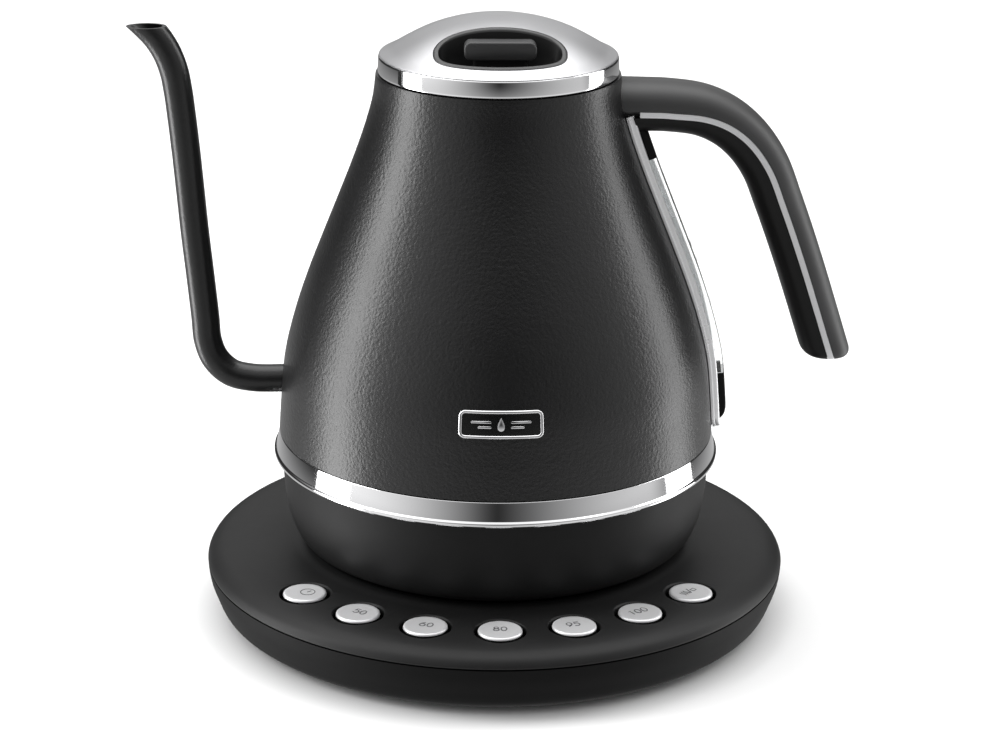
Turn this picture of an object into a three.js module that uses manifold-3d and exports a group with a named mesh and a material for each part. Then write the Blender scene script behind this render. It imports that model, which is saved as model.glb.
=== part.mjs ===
// Electric gooseneck kettle on its round power base, in millimetres.
// +Z is up, the table is z = 0 and the kettle's axis is the Z axis.
// The spout points to -X, the handle to +X and the keys on the base face -Y.
import * as THREE from 'three';
import { mergeVertices } from 'three/addons/utils/BufferGeometryUtils.js';
import Module from 'manifold-3d';

const wasm = await Module();
wasm.setup();

// ---------------------------------------------------------------- driving dimensions
const GAP = 0.3;                 // clearance between pieces that touch
const BIG = 40;                  // segments round the large shells
const MEDIUM = 32;               // segments round the lid
const SMALL = 14;                // segments round keys, feet and screws

const FOOT_HEIGHT = 2.5;         // the base stands this far off the table
const PARTING_Z = 21.1;          // groove between the base's two covers
const WELL_FLOOR_Z = 18;         // floor of the well that the kettle sits in
const COVER_WALL = 2.2;          // wall of the base's top cover

const KEY_COUNT = 7;
const KEY_RING_RADIUS = 97;      // keys stand on a circle about the axis
const KEY_SPACING = THREE.MathUtils.degToRad(16.93);
const KEY_RADIUS = 8.46;
const KEY_HOLE_RADIUS = 10;
const KEY_TOP_Z = 29.2;
const KEY_NAMES = ['power', '50', '60', '80', '95', '100', 'hold'];

const DOCK_RADIUS = 12.4;        // post of the cordless connector
const DOCK_TOP_Z = 33;
const RING_BOTTOM_Z = 67;        // chrome ring round the foot of the body
const RING_TOP_Z = 76.7;
const BODY_BOTTOM_Z = 77.1;
const BODY_TOP_Z = 221.6;
const BODY_STEPS = 7;            // heights at which the body's outline is sampled
const BODY_WALL = 1.2;
const LID_BASE_Z = 222;
const NECK_RADIUS = 43;          // clear radius of the filling opening

const SPOUT_RADIUS = 5.6;
const SPOUT_BORE = 4.4;
const SPOUT_TIP_Z = 239.3;
const SPOUT_ROOT_Z = 96.1;

const HANDLE_HALF_WIDTH = 13;    // along Y
const HANDLE_HALF_DEPTH = 9.8;   // across the handle's centre line
const HANDLE_END_Z = 109.3;

const GAUGE_HALF_WIDTH = 12;
const GAUGE_BOTTOM_Z = 78;
const GAUGE_TOP_Z = 206;         // its corners show on either side of the handle's root
const WINDOW_BOTTOM_Z = 102;
const WINDOW_TOP_Z = 187.5;
const WINDOW_HALF_WIDTH = 7.7;
const WINDOW_STAND = 6.6;        // how far the window stands off the body

// ---------------------------------------------------------------- finishes
const finish = (color, roughness, metalness = 0) =>
  new THREE.MeshStandardMaterial({ color, roughness, metalness });

const finishes = {
  matteBlack: finish(0x1b1b1c, 0.62),
  softBlack: finish(0x262627, 0.7),
  glossBlack: finish(0x0b0b0c, 0.2),
  blackPaint: finish(0x1a1a1b, 0.45, 0.1),
  chrome: finish(0xd8d8da, 0.08, 1),
  brushed: finish(0xbfbfc1, 0.32, 1),
  satinSilver: finish(0xa9a9ab, 0.35, 1),
  steel: finish(0xb4b4b6, 0.25, 1),
  aluminium: finish(0xc2c2c4, 0.4, 1),
  brass: finish(0xb8924a, 0.3, 1),
  rubber: finish(0x161616, 0.85),
  silicone: finish(0xd9d9d6, 0.6),
  board: finish(0x1f5a34, 0.5),
  clear: new THREE.MeshStandardMaterial({
    color: 0xdfe6e8, roughness: 0.05, transparent: true, opacity: 0.35,
  }),
};

// ---------------------------------------------------------------- shape helpers
// Joins equal corners, drops flat triangles and turns the surface outwards.
function weld(geometry) {
  const bare = geometry.clone();
  bare.deleteAttribute('normal');
  bare.deleteAttribute('uv');
  const merged = mergeVertices(bare, 1e-4);
  const position = merged.getAttribute('position');
  const corners = [0, 1, 2].map(() => new THREE.Vector3());
  const kept = [];
  let volume = 0;
  for (let i = 0; i < merged.index.count; i += 3) {
    const triangle = [0, 1, 2].map((k) => merged.index.getX(i + k));
    if (new Set(triangle).size < 3) continue;
    triangle.forEach((index, k) => corners[k].fromBufferAttribute(position, index));
    volume += corners[0].dot(corners[1].clone().cross(corners[2]));
    kept.push(triangle);
  }
  merged.setIndex(kept.flatMap((t) => (volume < 0 ? [t[0], t[2], t[1]] : t)));
  return merged;
}

function toManifold(geometry) {
  const welded = weld(geometry);
  return new wasm.Manifold(new wasm.Mesh({
    numProp: 3,
    vertProperties: new Float32Array(welded.getAttribute('position').array),
    triVerts: new Uint32Array(welded.index.array),
  }));
}

function fromManifold(manifold) {
  const mesh = manifold.getMesh();
  const geometry = new THREE.BufferGeometry();
  geometry.setAttribute('position', new THREE.BufferAttribute(mesh.vertProperties, 3));
  geometry.setIndex(new THREE.BufferAttribute(mesh.triVerts, 1));
  geometry.computeVertexNormals();
  return geometry;
}

function combine(operation, first, others) {
  return fromManifold(others.reduce((m, g) => m[operation](toManifold(g)), toManifold(first)));
}
const cut = (first, ...tools) => combine('subtract', first, tools);
const join = (first, ...others) => combine('add', first, others);
const common = (first, ...others) => combine('intersect', first, others);

// Turns a closed outline of [radius, height] points about the Z axis.
function turned(outline, segments = BIG) {
  const points = outline.map(([r, z]) => new THREE.Vector2(r, z));
  if (outline[0][0] !== 0 || outline.at(-1)[0] !== 0) points.push(points[0].clone());
  return weld(new THREE.LatheGeometry(points, segments).rotateX(Math.PI / 2));
}

function rod(radius, bottom, top, segments = SMALL) {
  return new THREE.CylinderGeometry(radius, radius, top - bottom, segments)
    .rotateX(Math.PI / 2).translate(0, 0, (bottom + top) / 2);
}

function block([x0, y0, z0], [x1, y1, z1]) {
  return new THREE.BoxGeometry(x1 - x0, y1 - y0, z1 - z0)
    .translate((x0 + x1) / 2, (y0 + y1) / 2, (z0 + z1) / 2);
}

function roundedRectangle(halfWidth, halfHeight, radius) {
  const shape = new THREE.Shape();
  shape.moveTo(halfWidth, -halfHeight + radius);
  shape.absarc(halfWidth - radius, halfHeight - radius, radius, 0, Math.PI / 2);
  shape.absarc(-halfWidth + radius, halfHeight - radius, radius, Math.PI / 2, Math.PI);
  shape.absarc(-halfWidth + radius, -halfHeight + radius, radius, Math.PI, 1.5 * Math.PI);
  shape.absarc(halfWidth - radius, -halfHeight + radius, radius, 1.5 * Math.PI, 2 * Math.PI);
  return shape;
}

// A flat shape drawn in X and Z, made into a bar that runs from y0 to y1.
function barAlongY(shape, y0, y1, curveSegments = 4) {
  return new THREE.ExtrudeGeometry(shape, { depth: y1 - y0, bevelEnabled: false, curveSegments })
    .rotateX(Math.PI / 2).translate(0, y1, 0);
}

// The same, as a bar that runs from x0 to x1 with the shape drawn in Y and Z.
function barAlongX(shape, x0, x1, curveSegments = 4) {
  return barAlongY(shape, -x1, -x0, curveSegments).rotateZ(Math.PI / 2);
}

function sweep(shape, path, steps, curveSegments = 4) {
  return new THREE.ExtrudeGeometry(shape, { steps, curveSegments, extrudePath: path });
}

const aroundAxis = (angle, radius, z = 0) =>
  new THREE.Vector3(radius * Math.cos(angle), radius * Math.sin(angle), z);

// ---------------------------------------------------------------- the assembly
const kettle = new THREE.Group();

function add(name, geometry, material, place = new THREE.Vector3(), turn = 0) {
  const mesh = new THREE.Mesh(geometry, material);
  mesh.name = name;
  mesh.position.copy(place);
  mesh.rotation.z = turn;
  kettle.add(mesh);
}

// ---------------------------------------------------------------- the body's outline
// Outer wall of the vessel as [radius, height]. Pieces fixed to it are offset from it.
const bodyCurve = new THREE.SplineCurve([
  [87.2, 76], [86.05, 92], [84.4, 108], [80.2, 125], [75.2, 140], [69.4, 155],
  [63.4, 170], [57.5, 185], [52.2, 200], [48.9, 212], [47.5, 223],
].map(([r, z]) => new THREE.Vector2(r, z)));

// Points of the outline moved outwards by offset, always at the same heights, so that
// pieces fixed to the body keep an even gap to it.
function bodyLine(offset) {
  const radiusAt = (z) => {
    let low = 0;
    let high = 1;
    for (let i = 0; i < 30; i += 1) {
      const middle = (low + high) / 2;
      if (bodyCurve.getPoint(middle).y < z) low = middle;
      else high = middle;
    }
    const tangent = bodyCurve.getTangent(low);
    return bodyCurve.getPoint(low).x + offset / tangent.y;
  };
  return Array.from({ length: BODY_STEPS + 1 }, (_, i) => {
    const z = BODY_BOTTOM_Z + ((BODY_TOP_Z - BODY_BOTTOM_Z) * i) / BODY_STEPS;
    return [radiusAt(z), z];
  });
}

// A skin that follows the body between two offsets.
const bodySkin = (inner, outer) => turned([...bodyLine(outer), ...bodyLine(inner).reverse()]);

// Everything inside the body's outer wall, with the usual clearance.
const bodyEnvelope = turned([[0, BODY_BOTTOM_Z], ...bodyLine(GAP), [0, BODY_TOP_Z]]);

// ---------------------------------------------------------------- power base
function addPowerBase() {
  const bossRadius = 4.2;
  const bossCircle = 60;
  const wellUnder = WELL_FLOOR_Z - COVER_WALL;
  const screwAngles = [0, 1, 2, 3].map((i) => (0.25 + 0.5 * i) * Math.PI);

  let top = turned([
    [117, 21.7], [117.1, 22.4], [115.8, 24.8], [112.6, 26.8], [108.5, 27.9], [103.5, 28.5], [85, 28.9],
    [78.5, 29.8], [74.5, 30.1], [72.2, 29.2], [71.6, 26.4], [85, 26.5], [103, 26.2], [108, 25.6],
    [112.2, 24.2], [114.7, 22.6], [114.7, 21.7],
  ]);
  for (let i = 0; i < KEY_COUNT; i += 1) {
    const at = keyPlace(i);
    top = cut(top, rod(KEY_HOLE_RADIUS, 24, 31).translate(at.x, at.y, 0));
  }
  add('base_top_cover', top, finishes.matteBlack);

  // The tray is the well that the kettle stands in, with the screw bosses under it.
  let tray = turned([
    [70.6, 26], [69.4, WELL_FLOOR_Z], [17.2, WELL_FLOOR_Z], [17.2, wellUnder], [71, wellUnder], [73, 26],
  ]);
  for (const angle of screwAngles) {
    const at = aroundAxis(angle, bossCircle);
    tray = cut(
      join(tray, rod(bossRadius, 5.2, WELL_FLOOR_Z - 1, 12).translate(at.x, at.y, 0)),
      rod(1.7, 5, 14.5, 8).translate(at.x, at.y, 0),
    );
  }
  add('dock_tray', tray, finishes.matteBlack);

  // The lower cover flares out to the parting groove, in an arc.
  const flare = [[108.7, FOOT_HEIGHT], [112.2, 5.5], [114.6, 11], [116.3, 16], [117.1, PARTING_Z]];
  const inside = [[114.7, PARTING_Z], [113.8, 16], [112, 10.8], [107, 4.9]];
  const footCircle = 95;
  const footAngles = [0, 1, 2, 3].map((i) => (0.25 + 0.5 * i) * Math.PI);
  const glandZ = 12;
  let bottom = turned([[0, FOOT_HEIGHT], ...flare, ...inside, [0, 4.9]]);
  for (const angle of screwAngles) {
    const at = aroundAxis(angle, bossCircle);
    bottom = cut(bottom, rod(1.75, 2, 6, 8).translate(at.x, at.y, 0));
  }
  for (const angle of footAngles) {
    const at = aroundAxis(angle, footCircle);
    bottom = cut(bottom, rod(3.3, 2, 6, 12).translate(at.x, at.y, 0));
  }
  const glandHole = rod(4.8, 105, 120, 16).rotateX(-Math.PI / 2).translate(0, 0, glandZ);
  add('base_bottom_cover', cut(bottom, glandHole), finishes.matteBlack);

  const foot = turned([
    [0, 0], [8, 0], [8, 2.2], [3, 2.2], [3, 5.2], [4.2, 5.2], [3.4, 7], [0, 7],
  ], 12);
  footAngles.forEach((angle, i) => {
    add(`base_foot_${i + 1}`, foot, finishes.rubber, aroundAxis(angle, footCircle));
  });

  const screw = turned([[0, 0.9], [3.1, 0.9], [3.1, 2.2], [1.35, 2.2], [1.35, 13], [0, 13]], 8);
  screwAngles.forEach((angle, i) => {
    add(`base_screw_${i + 1}`, screw, finishes.steel, aroundAxis(angle, bossCircle));
  });

  // A blanked gland: the recess in its outer end is where the cord would leave.
  const gland = turned([
    [0, 104.4], [5.8, 104.4], [5.8, 106.4], [4.5, 106.4], [4.5, 117], [3.4, 117], [3.2, 114.4],
    [0, 114.4],
  ], 16).rotateX(-Math.PI / 2).translate(0, 0, glandZ);
  add('cord_gland', gland, finishes.rubber);
}

function keyPlace(index) {
  return aroundAxis(-Math.PI / 2 + (index - (KEY_COUNT - 1) / 2) * KEY_SPACING, KEY_RING_RADIUS);
}

// A flat ring sector under the keys, between two radii and two heights.
function keySector(innerRadius, outerRadius, bottom, top) {
  const reach = (KEY_COUNT / 2) * KEY_SPACING;
  const shape = new THREE.Shape();
  shape.absarc(0, 0, outerRadius, -Math.PI / 2 - reach, -Math.PI / 2 + reach);
  shape.absarc(0, 0, innerRadius, -Math.PI / 2 + reach, -Math.PI / 2 - reach, true);
  return new THREE.ExtrudeGeometry(shape, {
    depth: top - bottom, bevelEnabled: false, curveSegments: 12,
  }).translate(0, 0, bottom);
}

function addKeysAndBoards() {
  const stemRadius = 3;
  const key = turned([
    [0, 16.8], [stemRadius, 16.8], [stemRadius, 25.9], [KEY_RADIUS, 25.9], [KEY_RADIUS, KEY_TOP_Z - 0.6],
    [KEY_RADIUS - 0.6, KEY_TOP_Z], [0, KEY_TOP_Z - 0.6],
  ], SMALL);
  let guide = keySector(86, 109, 21.2, 23.2);
  let board = keySector(86, 108, 9, 10.6);
  for (let i = 0; i < KEY_COUNT; i += 1) {
    const at = keyPlace(i);
    add(`button_${KEY_NAMES[i]}`, key, finishes.satinSilver, at);
    guide = cut(guide, rod(stemRadius + 0.4, 20, 25, 12).translate(at.x, at.y, 0));
    board = join(board, block([at.x - 3, at.y - 3, 10], [at.x + 3, at.y + 3, 15.2]));
  }
  add('button_guide', guide, finishes.glossBlack);
  add('control_board', board, finishes.board);
  add('buzzer', rod(5, 10.9, 16, 16), finishes.glossBlack, aroundAxis(-Math.PI / 2 + KEY_SPACING / 2, 102.5));
  add('power_board', block([-36, 24, 6.2], [36, 56, 7.8]), finishes.board);
  add('relay', block([-32, 28, 8.1], [-13, 44, 15]), finishes.glossBlack);
}

// ---------------------------------------------------------------- cordless connector
function addConnector() {
  const grooveBottom = 25;
  const grooveTop = 29;
  add('dock_connector', turned([
    [0, 11], [22, 11], [22, 15.4], [16.8, 15.4], [16.8, WELL_FLOOR_Z], [DOCK_RADIUS, WELL_FLOOR_Z],
    [DOCK_RADIUS, grooveBottom], [10.4, grooveBottom], [10.4, grooveTop], [DOCK_RADIUS, grooveTop],
    [DOCK_RADIUS, DOCK_TOP_Z - 1], [DOCK_RADIUS - 1, DOCK_TOP_Z], [4.2, DOCK_TOP_Z], [4.2, 20], [0, 20],
  ], 24), finishes.matteBlack);
  add('dock_contact_ring', turned([
    [10.7, grooveBottom + GAP], [DOCK_RADIUS - 0.1, grooveBottom + GAP],
    [DOCK_RADIUS - 0.1, grooveTop - GAP], [10.7, grooveTop - GAP],
  ], 24), finishes.brass);
  add('dock_center_pin', turned([[0, 20.3], [1.8, 20.3], [1.8, 32.4], [0, 32.4]], 10), finishes.brass);
  add('kettle_socket', turned([
    [0, 36], [17.5, 36], [17.5, 24], [21, 24], [21, 21.5], [17.5, 21.5], [17.5, 18.6], [13.2, 18.6],
    [13.2, 33.6], [0, 33.6],
  ], 24), finishes.matteBlack);
}

// ---------------------------------------------------------------- lower part of the kettle
function addKettleBottom() {
  const screwCircle = 53.8;
  const screwAngles = [0, 1, 2].map((i) => ((0.5 + 2 * i) * Math.PI) / 3);
  let skirt = turned([
    [85.9, 66.7], [85.3, 53], [83.3, 42], [79.6, 34.2], [76, 31.8], [71.6, 30.9], [69.6, 28],
    [66.8, 20.4], [64.6, 18.4], [57.8, 18.4], [57.8, 21.3], [50, 21.3], [50, 23.5], [64.4, 23.5],
    [69, 33.5], [77.4, 35.6], [80.9, 43], [82.8, 53.4], [83.4, 66.7],
  ]);
  let cover = turned([[17.9, 18.4], [57.4, 18.4], [57.4, 21], [17.9, 21]], MEDIUM);
  const screw = turned([[0, 18.6], [2.8, 18.6], [2.8, 19.7], [1.3, 19.7], [1.3, 27], [0, 27]], 8);
  screwAngles.forEach((angle, i) => {
    const at = aroundAxis(angle, screwCircle);
    skirt = cut(skirt, rod(1.6, 21, 24, 8).translate(at.x, at.y, 0));
    cover = cut(cover, rod(3.1, 18, 20, 12).translate(at.x, at.y, 0));
    cover = cut(cover, rod(1.6, 18, 22, 8).translate(at.x, at.y, 0));
    add(`bottom_screw_${i + 1}`, screw, finishes.steel, at);
  });
  add('lower_skirt', skirt, finishes.matteBlack);
  add('bottom_cover', cover, finishes.matteBlack);
  add('trim_ring', turned([
    [84.2, RING_BOTTOM_Z], [88.7, RING_BOTTOM_Z], [89.4, 68], [88.6, 69.4], [86.9, RING_TOP_Z],
    [85.6, RING_TOP_Z], [85.6, 68.7], [84.2, 68.7],
  ]), finishes.chrome);

  const plateTop = 69.7;
  const plateBottom = 68.6;
  const probe = aroundAxis(0.6, 26);
  const probeHole = rod(3.3, 60, 80, 12).translate(probe.x, probe.y, 0);
  add('boiler_floor', cut(turned([[0, 70], [84.6, 70], [84.6, 71.2], [0, 71.2]]), probeHole), finishes.steel);
  add('heat_plate', cut(turned([[0, plateBottom], [66, plateBottom], [66, plateTop], [0, plateTop]], MEDIUM),
    probeHole), finishes.aluminium);
  add('temperature_probe', turned([
    [0, 60], [3, 60], [3, 78], [1.5, 80], [0, 80],
  ], 12), finishes.steel, probe);
  add('thermal_cutout', block([-15, -12, 40], [15, 12, 52]), finishes.glossBlack);

  // Sheathed element: most of a turn, with its two cold ends side by side.
  const tube = new THREE.Shape();
  tube.absarc(0, 0, 3.6, 0, 2 * Math.PI);
  const turn = [];
  for (let i = 0; i <= 12; i += 1) turn.push(aroundAxis(0.35 + (i * 5.6) / 12, 50, 64.4));
  add('heating_element', sweep(tube, new THREE.CatmullRomCurve3(turn), 18, 4), finishes.steel);
}

// ---------------------------------------------------------------- vessel and spout
const SPOUT_POINTS = [
  [-70, SPOUT_ROOT_Z], [-86, SPOUT_ROOT_Z], [-98, SPOUT_ROOT_Z + 0.2], [-106.5, 98.6], [-112.4, 104.4],
  [-115.2, 112], [-116, 122], [-117.6, 140], [-119.2, 157], [-120.6, 175], [-121.8, 190], [-123.2, 205],
  [-124.2, 214], [-125.8, 222], [-128.8, 229], [-132.8, 234.9], [-137.4, 239.6], [-143, 244.6], [-150, 250],
];
const spoutPath = new THREE.CatmullRomCurve3(SPOUT_POINTS.map(([x, z]) => new THREE.Vector3(x, 0, z)));

function addVesselAndSpout() {
  const gaugeX = 60;
  const shell = turned([
    [85.2, 72], [85.2, BODY_BOTTOM_Z], ...bodyLine(0), ...bodyLine(-BODY_WALL).reverse(), [84, 72],
  ]);
  const spoutHole = rod(SPOUT_BORE, 60, 100, 16).rotateY(-Math.PI / 2).translate(0, 0, SPOUT_ROOT_Z);
  const gaugeHole = rod(2.5, gaugeX - 20, gaugeX + 40, 10).rotateY(Math.PI / 2);
  const gaugeHoles = [104, 180].map((z) => gaugeHole.clone().translate(0, 0, z));
  add('body_shell', cut(shell, spoutHole, ...gaugeHoles), finishes.blackPaint);
  add('neck_ring', turned([
    [NECK_RADIUS, 212], [44.4, 212], [45.8, 220.6], [45.8, 221.3], [NECK_RADIUS, 221.3],
  ], MEDIUM), finishes.steel);

  const disc = (radius) => {
    const shape = new THREE.Shape();
    shape.absarc(0, 0, radius, 0, 2 * Math.PI);
    return shape;
  };
  const aboveTip = block([-170, -20, SPOUT_TIP_Z], [-100, 20, 270]);
  const outside = sweep(disc(SPOUT_RADIUS), spoutPath, 28, 5);
  const bore = sweep(disc(SPOUT_BORE), spoutPath, 28, 4);
  add('spout_tube', cut(outside, bore, bodyEnvelope, aboveTip), finishes.blackPaint);
}

// ---------------------------------------------------------------- handle
const handlePath = new THREE.CatmullRomCurve3([
  [44, 209.4], [56, 209.2], [66, 208.8], [78.9, 206.6], [88.6, 201.6], [96.6, 194], [103.7, 184.2],
  [109.9, 170.6], [118.8, 148.4], [131.7, 110], [137, 94],
].map(([x, z]) => new THREE.Vector3(x, 0, z)));

// In a section of the handle, x runs along Y and y towards the inner side of the bend.
function handleSlab(y0, y1, halfWidth) {
  const shape = new THREE.Shape();
  [[-halfWidth, y0], [halfWidth, y0], [halfWidth, y1], [-halfWidth, y1]].forEach(([x, y], i) => {
    if (i === 0) shape.moveTo(x, y);
    else shape.lineTo(x, y);
  });
  return shape;
}

// The grip's full section is a superellipse: fuller than an ellipse, with no flat sides.
function gripSection(margin = 0) {
  const sides = 20;
  const power = 2 / 2.5;
  const shape = new THREE.Shape();
  for (let i = 0; i < sides; i += 1) {
    const angle = (2 * Math.PI * i) / sides;
    const x = Math.sign(Math.cos(angle)) * Math.abs(Math.cos(angle)) ** power;
    const y = Math.sign(Math.sin(angle)) * Math.abs(Math.sin(angle)) ** power;
    const point = [x * (HANDLE_HALF_WIDTH + margin), y * (HANDLE_HALF_DEPTH + margin)];
    if (i === 0) shape.moveTo(...point);
    else shape.lineTo(...point);
  }
  return shape;
}

const HANDLE_STEPS = 18;
const handleEnvelope = sweep(gripSection(GAP), handlePath, HANDLE_STEPS);

function addHandle() {
  const steps = HANDLE_STEPS;
  const seam = 1.6;              // the silver strips lie this far inside the centre line
  const stripHalf = 1.15;
  const stripDepth = 2.2;
  const endBlock = (z) => block([40, -30, 60], [170, 30, z]);
  const rounded = cut(sweep(gripSection(), handlePath, steps),
    endBlock(HANDLE_END_Z), bodyEnvelope);
  const hollow = cut(sweep(handleSlab(-5.6, 5.6, 9.2), handlePath, steps), endBlock(HANDLE_END_Z + 4));
  const upperHalf = sweep(handleSlab(-30, seam - stripHalf - GAP / 2, 30), handlePath, steps);
  const lowerHalf = sweep(handleSlab(seam + stripHalf + GAP / 2, 16, 30), handlePath, steps);
  add('handle_upper_shell', cut(common(rounded, upperHalf), hollow), finishes.softBlack);
  add('handle_lower_shell', cut(common(rounded, lowerHalf), hollow), finishes.matteBlack);

  const stripSlab = handleSlab(seam - stripHalf + GAP / 2, seam + stripHalf - GAP / 2, 30);
  const stripBand = sweep(stripSlab, handlePath, steps);
  const strips = common(rounded, stripBand);
  const stripStart = 55.5;
  const inner = HANDLE_HALF_WIDTH - stripDepth;
  add('handle_strip_front', common(strips, block([stripStart, -20, 60], [170, -inner, 240])),
    finishes.satinSilver);
  add('handle_strip_back', common(strips, block([stripStart, inner, 60], [170, 20, 240])),
    finishes.satinSilver);
  add('handle_core', cut(sweep(handleSlab(-2.4, 3, 7), handlePath, steps), endBlock(118), bodyEnvelope),
    finishes.aluminium);
}

// ---------------------------------------------------------------- water gauge
// A slab beside the body on +X, rounded at its corners, to trim a skin with.
function gaugeSlab(halfWidth, z0, z1, radius) {
  return barAlongX(roundedRectangle(halfWidth, (z1 - z0) / 2, radius), 20, 110)
    .translate(0, 0, (z0 + z1) / 2);
}

function addGauge() {
  const frameOut = 3.4;
  const opening = gaugeSlab(WINDOW_HALF_WIDTH + GAP, GAUGE_BOTTOM_Z + 2, GAUGE_TOP_Z - 2, 2);
  add('gauge_frame', cut(
    common(bodySkin(GAP, frameOut), gaugeSlab(GAUGE_HALF_WIDTH, GAUGE_BOTTOM_Z, GAUGE_TOP_Z, 3)),
    opening, handleEnvelope,
  ), finishes.satinSilver);
  add('gauge_window', cut(
    common(bodySkin(1.6, WINDOW_STAND), gaugeSlab(WINDOW_HALF_WIDTH, WINDOW_BOTTOM_Z, WINDOW_TOP_Z, 3)),
    common(
      bodySkin(0, WINDOW_STAND - 1.4),
      gaugeSlab(WINDOW_HALF_WIDTH - 1.4, WINDOW_BOTTOM_Z + 1.4, WINDOW_TOP_Z - 1.4, 2),
    ),
  ), finishes.clear);
  add('gauge_seal', cut(
    common(bodySkin(GAP, 1.3), gaugeSlab(WINDOW_HALF_WIDTH, WINDOW_BOTTOM_Z, WINDOW_TOP_Z, 3)),
    gaugeSlab(WINDOW_HALF_WIDTH - 1.4, WINDOW_BOTTOM_Z + 1.4, WINDOW_TOP_Z - 1.4, 2),
  ), finishes.silicone);
  const capBottom = 81.6;
  add('gauge_end_cap', common(bodySkin(GAP, WINDOW_STAND),
    gaugeSlab(WINDOW_HALF_WIDTH, capBottom, WINDOW_BOTTOM_Z - GAP, 2)), finishes.matteBlack);
  const topCap = common(
    bodySkin(GAP, WINDOW_STAND),
    gaugeSlab(WINDOW_HALF_WIDTH, WINDOW_TOP_Z + GAP, GAUGE_TOP_Z - 2.3, 2),
  );
  add('gauge_top_cap', cut(topCap, handleEnvelope), finishes.matteBlack);
}

// ---------------------------------------------------------------- plaque
function addPlaque() {
  const plaqueZ = 107;
  const halfWidth = 15.8;
  const halfHeight = 5.3;
  const rim = 1.3;
  const slab = (w, h, r) => barAlongY(roundedRectangle(w, h, r), -100, -60).translate(0, 0, plaqueZ);
  add('badge_rim', cut(common(bodySkin(GAP, 1.7), slab(halfWidth, halfHeight, 2.4)),
    slab(halfWidth - rim, halfHeight - rim, 1.4)), finishes.chrome);
  add('badge_plate', common(bodySkin(GAP, 1.1), slab(halfWidth - rim - 0.2, halfHeight - rim - 0.2, 1.2)),
    finishes.glossBlack);
}

// ---------------------------------------------------------------- lid
const RECESS_Y = -27.2;          // middle of the finger recess on the lid's front slope
const RECESS_HALF_X = 25.5;
const RECESS_HALF_Y = 14;
const RECESS_FLOOR_Z = 226.4;
const GRIP_Y = -25.7;
const GRIP_HALF_X = 14.2;
const GRIP_HALF_Y = 3.6;
const GRIP_TOP_Z = 239.6;        // a level bar that stands up to the dome

function oval(halfX, halfY, bottom, top, segments = 28) {
  return rod(1, bottom, top, segments).scale(halfX, halfY, 1).translate(0, RECESS_Y, 0);
}

function addLid() {
  const dome = [
    [46.5, 228.9], [42.5, 230.9], [38.8, 233.1], [31.1, 237.3], [22, 240.8], [10, 243.5],
  ];
  const domeTop = 244.2;
  const coverWall = 1;
  const cover = turned([
    ...dome, [0, domeTop], [0, domeTop - coverWall],
    ...dome.slice(1).reverse().map(([r, z]) => [r, z - coverWall]),
    [43.9, 228.4], [43.9, 228.2], [46.2, 228.2],
  ], MEDIUM);
  add('lid_cover', cut(cover, oval(RECESS_HALF_X, RECESS_HALF_Y, 220, 250)), finishes.brushed);
  add('lid_band', turned([
    [42, LID_BASE_Z], [46.9, LID_BASE_Z], [46.9, 222.6], [46.6, 227.9], [43.6, 227.9], [43.6, 223.6],
    [42, 223.6],
  ], MEDIUM), finishes.chrome);

  // The tub hangs in the oval hole and its rim follows the dome.
  const under = turned([[0, 200], [52, 200], [52, 226.8], ...dome, [0, domeTop]], MEDIUM);
  const tubWall = 1.6;
  const tub = cut(
    common(oval(RECESS_HALF_X - GAP, RECESS_HALF_Y - GAP, RECESS_FLOOR_Z - 1.6, 250), under),
    oval(RECESS_HALF_X - GAP - tubWall, RECESS_HALF_Y - GAP - tubWall, RECESS_FLOOR_Z, 250),
  );
  add('lid_well', tub, finishes.matteBlack);

  const gripFoot = RECESS_FLOOR_Z + GAP;
  const gripBevel = 1;
  const grip = new THREE.ExtrudeGeometry(roundedRectangle(GRIP_HALF_X, GRIP_HALF_Y, GRIP_HALF_Y - 0.2), {
    depth: GRIP_TOP_Z - gripFoot - 2 * gripBevel,
    bevelEnabled: true, bevelThickness: gripBevel, bevelSize: gripBevel, bevelOffset: -gripBevel,
    bevelSegments: 2, curveSegments: 3,
  }).translate(0, GRIP_Y, gripFoot + gripBevel);
  add('lid_grip', weld(grip), finishes.softBlack);

  add('lid_inner_cover', turned([
    [0, 212.4], [39.6, 212.4], [41.4, 214], [41.4, 214.8], [39, 214.8], [39, 217.2], [41.7, 217.2],
    [41.7, 224.2], [0, 224.2],
  ], MEDIUM), finishes.matteBlack);
  add('lid_seal', turned([[39.4, 215.1], [41.6, 215.1], [42.7, 216], [41.6, 216.9], [39.4, 216.9]], MEDIUM),
    finishes.silicone);
}

addPowerBase();
addKeysAndBoards();
addConnector();
addKettleBottom();
addVesselAndSpout();
addHandle();
addGauge();
addPlaque();
addLid();

export default kettle;
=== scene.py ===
import math

import bmesh
import bpy
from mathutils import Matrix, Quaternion, Vector


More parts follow.
